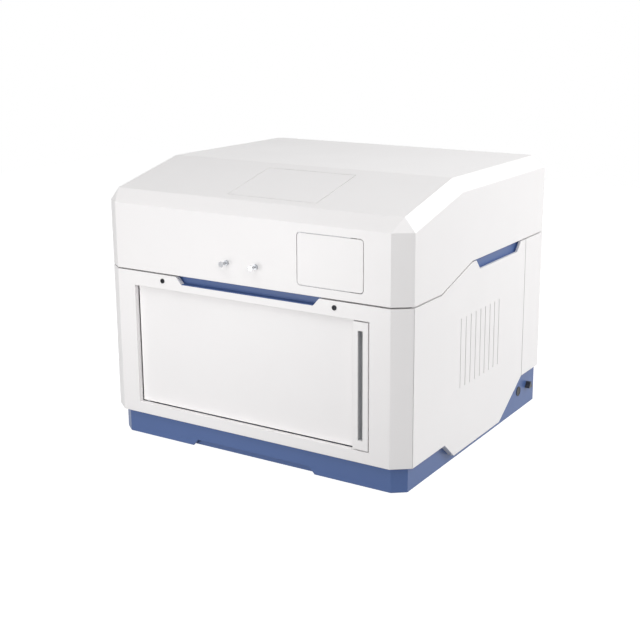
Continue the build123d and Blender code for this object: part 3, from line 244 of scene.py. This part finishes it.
# Bare metals
# The tube frame, brackets, hinges and the supply's case are bright zinc plated, the deck and the
# stage are milled aluminium, and the pull rods are polished and chromium plated.
def bare_metal(name, colour, roughness, grain, stretch):
    """A bare or plated metal with fine tool marks drawn along one direction."""
    material, tree, output = new_material(name)
    place = add(tree, "ShaderNodeTexCoord").outputs["Object"]
    marks = add(tree, "ShaderNodeMapping", {"Vector": place, "Scale": stretch})
    lines = add(tree, "ShaderNodeTexNoise", {"Vector": marks.outputs[0], "Scale": grain, "Detail": 3.0})
    gloss = add(tree, "ShaderNodeMapRange", {
        "Value": lines.outputs["Fac"], "To Min": roughness * 0.7, "To Max": roughness * 1.3})
    rounding = add(tree, "ShaderNodeBevel", {"Radius": 0.0003}, samples=4)
    bump = add(tree, "ShaderNodeBump", {
        "Height": lines.outputs["Fac"], "Strength": 0.08, "Distance": 0.0001,
        "Normal": rounding.outputs[0]})
    body = add(tree, "ShaderNodeBsdfPrincipled", {
        "Base Color": linear(colour), "Metallic": 1.0, "Roughness": gloss.outputs[0],
        "Normal": bump.outputs[0]})
    tree.links.new(body.outputs[0], output.inputs["Surface"])
    return material


chrome = bare_metal("chromium_plate", "#B9BABD", 0.12, 300.0, (1, 1, 1))
dress(chrome, "left_pull_rod", "right_pull_rod")
zinc_steel = bare_metal("bright_zinc_plated_steel", "#B9BCC0", 0.35, 120.0, (1, 1, 1))
dress(zinc_steel, "body_frame", "hood_hinge_leaves", "hood_hinge_straps", "hatch_frames", "rod_bushes",
      "door_brackets", "chamber_supports", "power_supply", "board_standoffs")
milled = bare_metal("milled_aluminium", "#D2D3D6", 0.3, 90.0, (1, 12, 1))
dress(milled, "stage_base", "stage_carriage", "optical_deck", "turret_base")
black_oxide = bare_metal("black_oxide_steel", "#2A2B2E", 0.4, 200.0, (1, 1, 1))
dress(black_oxide, "fascia_screws", "fan_guard")
stainless = bare_metal("stainless_steel", "#B4B4B2", 0.28, 400.0, (1, 1, 1))
brass = bare_metal("drawn_brass", "#C9A55C", 0.25, 300.0, (1, 1, 1))


# Anodised optics mounts
# Lamp house, mounts, slit, detector, turret and filter carriers are machined from aluminium, bead
# blasted and anodised black.
anodised = powder_coat("black_anodised_aluminium", "#202124", "#191A1C", 0.42, 0.0005)
dress(anodised, "sample_platform", "lamp_housing", "fold_mount", "entrance_slit", "mirror_mounts",
      "grating_turret", "detector", "left_filter_carrier", "right_filter_carrier")


# Rubber and foam
# Feet and the deck's isolators are moulded in rubber, the light seal round the door is cut from
# closed-cell foam.
rubber = moulded("soft_black_rubber", "#232323", "#1B1B1B", 0.85, 500.0)
dress(rubber, "rubber_feet", "isolators")
foam = moulded("closed_cell_foam", "#2B2B2C", "#202021", 0.95, 1800.0)
dress(foam, "door_seal")


# Filters, mirrors and grating
# Two polished glass filters, front-surface mirrors with a bare aluminium film, and a grating whose
# fine upright grooves spread the light into faint colours.
window_glass, tree, output = new_material("polished_filter_glass")
pane = add(tree, "ShaderNodeBsdfPrincipled", {
    "Base Color": linear("#DCE6EE"), "Roughness": 0.02, "IOR": 1.52, "Transmission Weight": 1.0})
tree.links.new(pane.outputs[0], output.inputs["Surface"])
dress(window_glass, "left_filter", "right_filter")
mirror_film = bare_metal("aluminium_mirror_film", "#EDEEF0", 0.03, 200.0, (1, 1, 1))
dress(mirror_film, "fold_mirror", "curved_mirrors")
ruled, tree, output = new_material("ruled_grating_film")
place = add(tree, "ShaderNodeTexCoord").outputs["Object"]
grooves = add(tree, "ShaderNodeTexWave", {"Vector": place, "Scale": 900.0}, bands_direction="X")
groove_bump = add(tree, "ShaderNodeBump", {
    "Height": grooves.outputs["Fac"], "Strength": 0.3, "Distance": 0.0001})
film = add(tree, "ShaderNodeBsdfPrincipled", {
    "Base Color": linear("#DDE0E6"), "Metallic": 1.0, "Roughness": 0.12,
    "Thin Film Thickness": 420.0, "Normal": groove_bump.outputs[0]})
tree.links.new(film.outputs[0], output.inputs["Surface"])
dress(ruled, "grating")


# Screws
# Machine screws with chamfered heads and a hexagon socket, one Geometry Nodes tree for all of
# them: it builds one head, cuts its socket, and sets a copy on every point.
smooth_below = math.radians(35)


def finished(name, mesh, material, body):
    """A finished piece of the scene that moves with its body."""
    mesh.shade_smooth()
    mesh.set_sharp_from_angle(angle=smooth_below)
    mesh.materials.clear()
    mesh.materials.append(material)
    piece = bpy.data.objects.new(name, mesh)
    bpy.context.scene.collection.objects.link(piece)
    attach(piece, body)
    return piece


def new_tree(name, sockets):
    """A Geometry Nodes tree with points and the named values going in, and copies coming out."""
    tree = bpy.data.node_groups.new(name, "GeometryNodeTree")
    face = tree.interface
    face.new_socket(name="Points", in_out="INPUT", socket_type="NodeSocketGeometry")
    for label, kind in sockets:
        face.new_socket(name=label, in_out="INPUT", socket_type="NodeSocket" + kind)
    face.new_socket(name="Copies", in_out="OUTPUT", socket_type="NodeSocketGeometry")
    return tree, add(tree, "NodeGroupInput").outputs


def on_points(tree, given, shape):
    """Sets the shape on every point and gives the result its material."""
    places = {"Points": given["Points"], "Instance": shape, "Rotation": given["Rotation"]}
    copies = add(tree, "GeometryNodeInstanceOnPoints", places)
    solid = add(tree, "GeometryNodeRealizeInstances", {"Geometry": copies.outputs[0]})
    coated = {"Geometry": solid.outputs[0], "Material": given["Material"]}
    dressed = add(tree, "GeometryNodeSetMaterial", coated)
    add(tree, "NodeGroupOutput", {"Copies": dressed.outputs[0]})


def grown(name, points, tree, values, body):
    """The mesh that a tree grows on the points, as a finished piece."""
    seed = bpy.data.meshes.new(name)
    seed.from_pydata([tuple(point) for point in points], [], [])
    carrier = bpy.data.objects.new(name + "_points", seed)
    bpy.context.scene.collection.objects.link(carrier)
    modifier = carrier.modifiers.new("copies", "NODES")
    modifier.node_group = tree
    for item in tree.interface.items_tree:
        if item.in_out == "INPUT" and item.name in values:
            modifier[item.identifier] = values[item.name]
    bpy.context.view_layer.update()
    evaluated = carrier.evaluated_get(bpy.context.evaluated_depsgraph_get())
    result = bpy.data.meshes.new_from_object(evaluated)
    bpy.data.objects.remove(carrier)
    result.name = name
    return finished(name, result, values["Material"], body)


def scaled(tree, value, factor):
    return add(tree, "ShaderNodeMath", {0: value, 1: factor}, operation="MULTIPLY").outputs[0]


def lifted(tree, shape, height):
    """The shape moved up along the head's axis."""
    way = add(tree, "ShaderNodeCombineXYZ", {"Z": height}).outputs[0]
    return add(tree, "GeometryNodeTransform", {"Geometry": shape, "Translation": way}).outputs[0]


def rod(tree, sides, low_radius, high_radius, height):
    """A round or six-sided rod, or a cone's foot, that stands on its own axis."""
    inputs = {"Vertices": sides, "Radius Bottom": low_radius, "Radius Top": high_radius, "Depth": height}
    return add(tree, "GeometryNodeMeshCone", inputs).outputs["Mesh"]


screw_tree, given = new_tree("socket_head_screws", [
    ("Head Radius", "Float"), ("Head Height", "Float"), ("Rotation", "Rotation"), ("Material", "Material")])
head_radius, head_height = given["Head Radius"], given["Head Height"]
head_sides = 32
chamfer_share = 0.25
chamfer_radius = scaled(screw_tree, head_radius, 0.86)
chamfer_height = scaled(screw_tree, head_height, chamfer_share)
barrel_height = scaled(screw_tree, head_height, 1 - chamfer_share)
socket_radius = scaled(screw_tree, head_radius, 0.5)
socket_foot = scaled(screw_tree, head_height, 0.4)
head = add(screw_tree, "GeometryNodeMeshBoolean", operation="UNION")
barrel = rod(screw_tree, head_sides, head_radius, head_radius, barrel_height)
chamfer_ring = rod(screw_tree, head_sides, head_radius, chamfer_radius, chamfer_height)
screw_tree.links.new(barrel, head.inputs["Mesh 2"])
screw_tree.links.new(lifted(screw_tree, chamfer_ring, barrel_height), head.inputs["Mesh 2"])
hexagon = lifted(screw_tree, rod(screw_tree, 6, socket_radius, socket_radius, head_height), socket_foot)
cut = {"Mesh 1": head.outputs["Mesh"], "Mesh 2": hexagon}
socket_cut = add(screw_tree, "GeometryNodeMeshBoolean", cut, operation="DIFFERENCE")
on_points(screw_tree, given, socket_cut.outputs["Mesh"])

facing_up = (0, 0, 0)
facing_down = (math.pi, 0, 0)
facing_front = (math.pi / 2, 0, 0)
facing_rear = (-math.pi / 2, 0, 0)


def screws(name, points, radius, height, facing, material, body="cabinet"):
    values = {"Head Radius": radius, "Head Height": height, "Rotation": facing, "Material": material}
    return grown(name, points, screw_tree, values, body)


def grid(xs, ys, z):
    return [(x, y, z) for x in xs for y in ys]


def both(middle, reach):
    return (middle - reach, middle + reach)


front_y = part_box("front_frame")[0].y
rear_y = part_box("rear_shell")[1].y
port_y = front_y + 0.12
deck_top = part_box("optical_deck")[1].z

# Feet, rear panel and hinges
foot_x = 0.235
foot_inset = 0.07
dimple_z = 0.007
screws("foot_screws", grid((-foot_x, foot_x), (front_y + foot_inset, rear_y - foot_inset), dimple_z),
       radius=0.005, height=0.0025, facing=facing_down, material=zinc_steel)
panel_spots = [(x, rear_y, z) for x in (-0.27, 0, 0.27) for z in (0.09, 0.2, 0.315)]
screws("rear_panel_screws", panel_spots, radius=0.0035, height=0.0022, facing=facing_rear,
       material=black_oxide)
leaf_face = rear_y + 0.002
leaf_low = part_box("hood_hinge_leaves")[0].z
strap_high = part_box("hood_hinge_straps")[1].z
hinge_x = 0.19
screw_reach = 0.02
leaf_xs = [side * hinge_x + step for side in (-1, 1) for step in (-screw_reach, screw_reach)]
from_edge = (0.008, 0.022)
screws("hinge_leaf_screws", [(x, leaf_face, leaf_low + z) for x in leaf_xs for z in from_edge],
       radius=0.003, height=0.0018, facing=facing_rear, material=stainless)
screws("hinge_strap_screws", [(x, leaf_face, strap_high - z) for x in leaf_xs for z in from_edge],
       radius=0.003, height=0.0018, facing=facing_rear, material=stainless, body="lid")

# Chamber's flange, deck and optics
flange_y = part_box("sample_chamber")[0].y
screws("chamber_screws", [(x, flange_y, z) for x in (-0.22, 0.22) for z in (0.1, 0.172, 0.245)],
       radius=0.003, height=0.0016, facing=facing_front, material=black_oxide)
isolator_low, isolator_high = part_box("isolators")
isolator_radius = 0.008
deck_spots = grid((isolator_low.x + isolator_radius, isolator_high.x - isolator_radius),
                  (isolator_low.y + isolator_radius, isolator_high.y - isolator_radius), deck_top)
screws("deck_screws", deck_spots, radius=0.0045, height=0.004, facing=facing_up,
       material=black_oxide)
for piece_name, reach_x, reach_y in (("fold_mount", 0.019, 0.019), ("lamp_housing", 0.0, 0.034),
                                     ("detector", 0.0, 0.024)):
    low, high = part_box(piece_name)
    middle = (low + high) / 2
    places = grid(both(middle.x, reach_x), both(middle.y, reach_y), high.z)
    screws(piece_name + "_screws", sorted(set(places)), radius=0.0025, height=0.0015,
           facing=facing_up, material=stainless)
low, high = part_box("turret_base")
middle = (low + high) / 2
turret_reach = 0.031
turret_top = deck_top + 0.016
screws("turret_screws", grid(both(middle.x, turret_reach), both(middle.y, turret_reach), turret_top),
       radius=0.003, height=0.003, facing=facing_up, material=black_oxide)
mirror_y = front_y + 0.44
mirror_places = [(Vector((x, mirror_y, 0)), Matrix.Rotation(math.radians(swing), 4, "Z"))
                 for x, swing in ((0.09, 14), (-0.11, -14))]
mount_foot_top = deck_top + 0.008
mirror_spots = [centre + turn @ Vector((x, -0.02, mount_foot_top))
                for centre, turn in mirror_places for x in (-0.033, 0.033)]
screws("mirror_foot_screws", mirror_spots, radius=0.003, height=0.003, facing=facing_up,
       material=black_oxide)


# Mirror adjusters and carriage lock
# Three knurled brass knobs on the back of each mirror plate tilt the plate, and a stainless one
# clamps the stage's carriage. Turned, with ribs all round that the fingers grip.
def knurled_knob(name, places, radius, length, ribs, material, body):
    """Ribbed knobs along given axes: each place is a foot point and a direction."""
    profile = ((0, 0.55), (0.25, 0.55), (0.25, 0.94), (0.32, 1.0), (0.93, 1.0), (1.0, 0.9))
    neck_share = 0.6
    rib_depth = 0.07
    mesh = bpy.data.meshes.new(name)
    work = bmesh.new()
    for foot, way in places:
        frame_turn = Vector(way).to_track_quat("Z", "Y")
        rings = []
        for height, share in profile:
            ring = []
            for i in range(2 * ribs):
                groove = 1 - rib_depth if i % 2 and share > neck_share else 1.0
                angle = math.pi * i / ribs
                flat = Vector((math.cos(angle), math.sin(angle), 0)) * radius * share * groove
                spot = Vector(foot) + frame_turn @ (flat + Vector((0, 0, height * length)))
                ring.append(work.verts.new(spot))
            rings.append(ring)
        for low_ring, high_ring in zip(rings, rings[1:]):
            for i in range(2 * ribs):
                j = (i + 1) % (2 * ribs)
                work.faces.new((low_ring[i], low_ring[j], high_ring[j], high_ring[i]))
        work.faces.new(list(reversed(rings[0])))
        work.faces.new(rings[-1])
    work.to_mesh(mesh)
    work.free()
    return finished(name, mesh, material, body)


plate_back = 0.01
knob_spots = ((-0.026, 0.333), (0.026, 0.333), (-0.026, 0.385))
knob_places = [(centre + turn @ Vector((x, plate_back, z)), turn @ Vector((0, 1, 0)))
               for centre, turn in mirror_places for x, z in knob_spots]
knurled_knob("mirror_adjusters", knob_places, radius=0.0055, length=0.011, ribs=18, material=brass,
             body="cabinet")
lock_z = 0.1
lock_place = ((0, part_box("stage_carriage")[0].y, lock_z), (0, -1, 0))
knurled_knob("carriage_lock", [lock_place], radius=0.006, length=0.009, ribs=20, material=stainless,
             body="stage")


# Port lens
# A plano-convex lens lies flat side down over the port in the chamber's roof. It is ground and
# polished from one piece of glass, with a small bevel along its edge.
def turned(name, foot, way, profile, material, body):
    """A turned piece from (radius, height) points, closed at both ends on its axis."""
    turn = Vector(way).to_track_quat("Z", "Y")
    sides = 48
    mesh = bpy.data.meshes.new(name)
    work = bmesh.new()
    rings = []
    for radius, height in profile:
        angles = [0.0] if radius == 0 else [2 * math.pi * i / sides for i in range(sides)]
        spots = [Vector((radius * math.cos(a), radius * math.sin(a), height)) for a in angles]
        rings.append([work.verts.new(Vector(foot) + turn @ spot) for spot in spots])
    for low_ring, high_ring in zip(rings, rings[1:]):
        for i in range(sides):
            j = (i + 1) % sides
            if len(low_ring) == 1:
                work.faces.new((low_ring[0], high_ring[j], high_ring[i]))
            elif len(high_ring) == 1:
                work.faces.new((low_ring[i], low_ring[j], high_ring[0]))
            else:
                work.faces.new((low_ring[i], low_ring[j], high_ring[j], high_ring[i]))
    bmesh.ops.recalc_face_normals(work, faces=work.faces)
    work.to_mesh(mesh)
    work.free()
    return finished(name, mesh, material, body)


lens_radius = 0.0168
lens_edge = 0.0014
lens_crown = 0.0016
dome = [(lens_radius * math.cos(math.radians(a)), lens_edge + lens_crown * math.sin(math.radians(a)))
        for a in (15, 35, 55, 75)]
rim = [(0, 0), (lens_radius, 0), (0.0174, 0.0005), (0.0174, 0.0013)]
chamber_roof = 0.2703
turned("port_lens", (0.09, port_y, chamber_roof), (0, 0, 1), rim + dome + [(0, lens_edge + lens_crown)],
       window_glass, "cabinet")


# Stage scale
# A satin steel rule on the stage's bed, with a raised mark every 5 mm and a longer one every
# 50 mm, tells where the carriage stands. One Geometry Nodes tree makes all the marks.
bar_tree, given = new_tree("raised_marks", [
    ("Size", "Vector"), ("Rotation", "Rotation"), ("Material", "Material")])
bar_shape = add(bar_tree, "GeometryNodeMeshCube", {"Size": given["Size"]})
on_points(bar_tree, given, bar_shape.outputs["Mesh"])


def bars(name, points, size, material, body):
    """Equal small blocks, each centred on its point."""
    values = {"Size": size, "Rotation": facing_up, "Material": material}
    return grown(name, points, bar_tree, values, body)


bed_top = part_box("stage_base")[0].z + 0.01
scale_y = port_y - 0.0515
rule_size = (0.29, 0.005, 0.0004)
mark_z = bed_top + 0.00045
mark_pitch = 0.005
marks_per_side = 28
marks_per_long = 10
bars("stage_scale", [(0, scale_y, bed_top + rule_size[2] / 2)], rule_size, stainless, "cabinet")
numbers = range(-marks_per_side, marks_per_side + 1)
short_marks = [(mark_pitch * i, scale_y + 0.001, mark_z) for i in numbers if i % marks_per_long]
bars("scale_short_marks", short_marks, (0.0004, 0.0024, 0.0002), black_oxide, "cabinet")
long_marks = [(mark_pitch * i, scale_y, mark_z) for i in numbers if i % marks_per_long == 0]
bars("scale_long_marks", long_marks, (0.0006, 0.0044, 0.0002), black_oxide, "cabinet")


# Control board
# Circuit board under green solder resist. Three black epoxy packages stand on rows of tinned
# pins, a field of small parts lies between them, and four screws hold the board on its posts.
solder_resist = moulded("green_solder_resist", "#1D5A34", "#184E2D", 0.3, 300.0)
dress(solder_resist, "control_board")
epoxy = moulded("black_moulded_epoxy", "#1C1D1F", "#151617", 0.5, 1500.0)
board_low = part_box("control_board")[0]
board_top = board_low.z + 0.0016
board_length = 0.24
board_depth = 0.17
post_inset = 0.01
post_spots = grid((board_low.x + post_inset, board_low.x + board_length - post_inset),
                  (board_low.y + post_inset, board_low.y + board_depth - post_inset), board_top)
screws("board_screws", post_spots, radius=0.003, height=0.002, facing=facing_up, material=zinc_steel)
millimetre = 0.001
pin_pitch = 0.002
pin_size = (0.0022, 0.0008, 0.0012)
for tag, x, y, wide, deep, high in (("main", 60, 50, 34, 34, 4), ("second", 130, 100, 22, 22, 3),
                                    ("relay", 190, 45, 40, 18, 9)):
    centre = (board_low.x + x * millimetre, board_low.y + y * millimetre)
    case_size = ((wide - 3) * millimetre, (deep - 3) * millimetre, high * millimetre + 0.0006)
    bars(tag + "_chip_case", [(*centre, board_top + high * millimetre / 2 + 0.0002)], case_size, epoxy,
         "cabinet")
    count = int((deep - 4) / 2)
    pin_ys = [centre[1] + (i - (count - 1) / 2) * pin_pitch for i in range(count)]
    pin_xs = both(centre[0], wide * millimetre / 2 + 0.0006)
    bars(tag + "_chip_pins", grid(pin_xs, pin_ys, board_top + pin_size[2] / 2), pin_size, zinc_steel,
         "cabinet")
part_size = (0.0032, 0.0016, 0.001)
small_parts = grid([board_low.x + 0.1 + 0.006 * i for i in range(9)],
                   [board_low.y + 0.03 + 0.008 * i for i in range(4)], board_top + part_size[2] / 2)
bars("small_parts", small_parts, part_size, epoxy, "cabinet")


# Power supply
# A case folded from zinc-plated sheet, already made with the solids. Four zinc-plated screws hold
# its lid near the corners.
supply_low, supply_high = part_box("power_supply")
lid_inset = 0.01
lid_spots = grid((supply_low.x + lid_inset, supply_high.x - lid_inset),
                 (supply_low.y + lid_inset, supply_high.y - lid_inset), supply_high.z)
screws("supply_screws", lid_spots, radius=0.003, height=0.002, facing=facing_up, material=zinc_steel)


# Cooling fan
# A seven-bladed impeller moulded in black nylon: a hub with a bevelled rim, and thin blades that
# twist towards their tips. It takes the place of the plain rotor.
blades = 7
stations = 7
hub_radius = 0.018
hub_bevel = 0.002
hub_sides = 48
blade_root = 0.0172
blade_reach = 0.0335


def blade_row(share, radius, chord, pitch, sheet):
    """The cross section of a blade at one radius, as four corners in (x, y, z)."""
    half, thick = chord / 2, sheet / 2
    tilt = math.radians(pitch)
    forward_sweep = 0.006
    row = []
    for along, off in ((-half, -thick), (half, -thick), (half, thick), (-half, thick)):
        sweep = along * math.sin(tilt) - off * math.cos(tilt)
        rise = along * math.cos(tilt) + off * math.sin(tilt)
        angle = (sweep + share * forward_sweep) / radius
        row.append(Vector((radius * math.cos(angle), rise, radius * math.sin(angle))))
    return row


rotor_low, rotor_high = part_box("fan_rotor")
rotor_middle = (rotor_low + rotor_high) / 2
impeller_mesh = bpy.data.meshes.new("fan_impeller")
work = bmesh.new()
for blade in range(blades):
    turn = Matrix.Rotation(2 * math.pi * blade / blades, 4, "Y")
    rows = []
    for i in range(stations):
        share = i / (stations - 1)
        radius = blade_root + share * blade_reach
        row = blade_row(share, radius, 0.0155 + 0.001 * share, 30 + 26 * share, 0.0016 - 0.0006 * share)
        rows.append([work.verts.new(rotor_middle + turn @ spot) for spot in row])
    for near, far in zip(rows, rows[1:]):
        for i in range(4):
            j = (i + 1) % 4
            work.faces.new((near[i], near[j], far[j], far[i]))
    work.faces.new(list(reversed(rows[0])))
    work.faces.new(rows[-1])
hub_profile = (
    (0.0, rotor_high.y),
    (hub_radius - hub_bevel, rotor_high.y),
    (hub_radius, rotor_high.y - hub_bevel),
    (hub_radius, rotor_low.y),
    (0.0, rotor_low.y),
)
hub_rings = []
for radius, y in hub_profile:
    angles = [0.0] if radius == 0 else [2 * math.pi * i / hub_sides for i in range(hub_sides)]
    hub_rings.append([
        work.verts.new((rotor_middle.x + radius * math.cos(a), y, rotor_middle.z + radius * math.sin(a)))
        for a in angles])
for near, far in zip(hub_rings, hub_rings[1:]):
    for i in range(hub_sides):
        j = (i + 1) % hub_sides
        if len(near) == 1:
            work.faces.new((near[0], far[i], far[j]))
        elif len(far) == 1:
            work.faces.new((near[i], far[0], near[j]))
        else:
            work.faces.new((near[i], far[i], far[j], near[j]))
bmesh.ops.recalc_face_normals(work, faces=work.faces)
work.to_mesh(impeller_mesh)
work.free()
nylon = moulded("black_glass_filled_nylon", "#1B1C1E", "#141516", 0.5, 1400.0)
impeller = finished("fan_impeller", impeller_mesh, nylon, "fan")
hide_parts("fan_rotor")
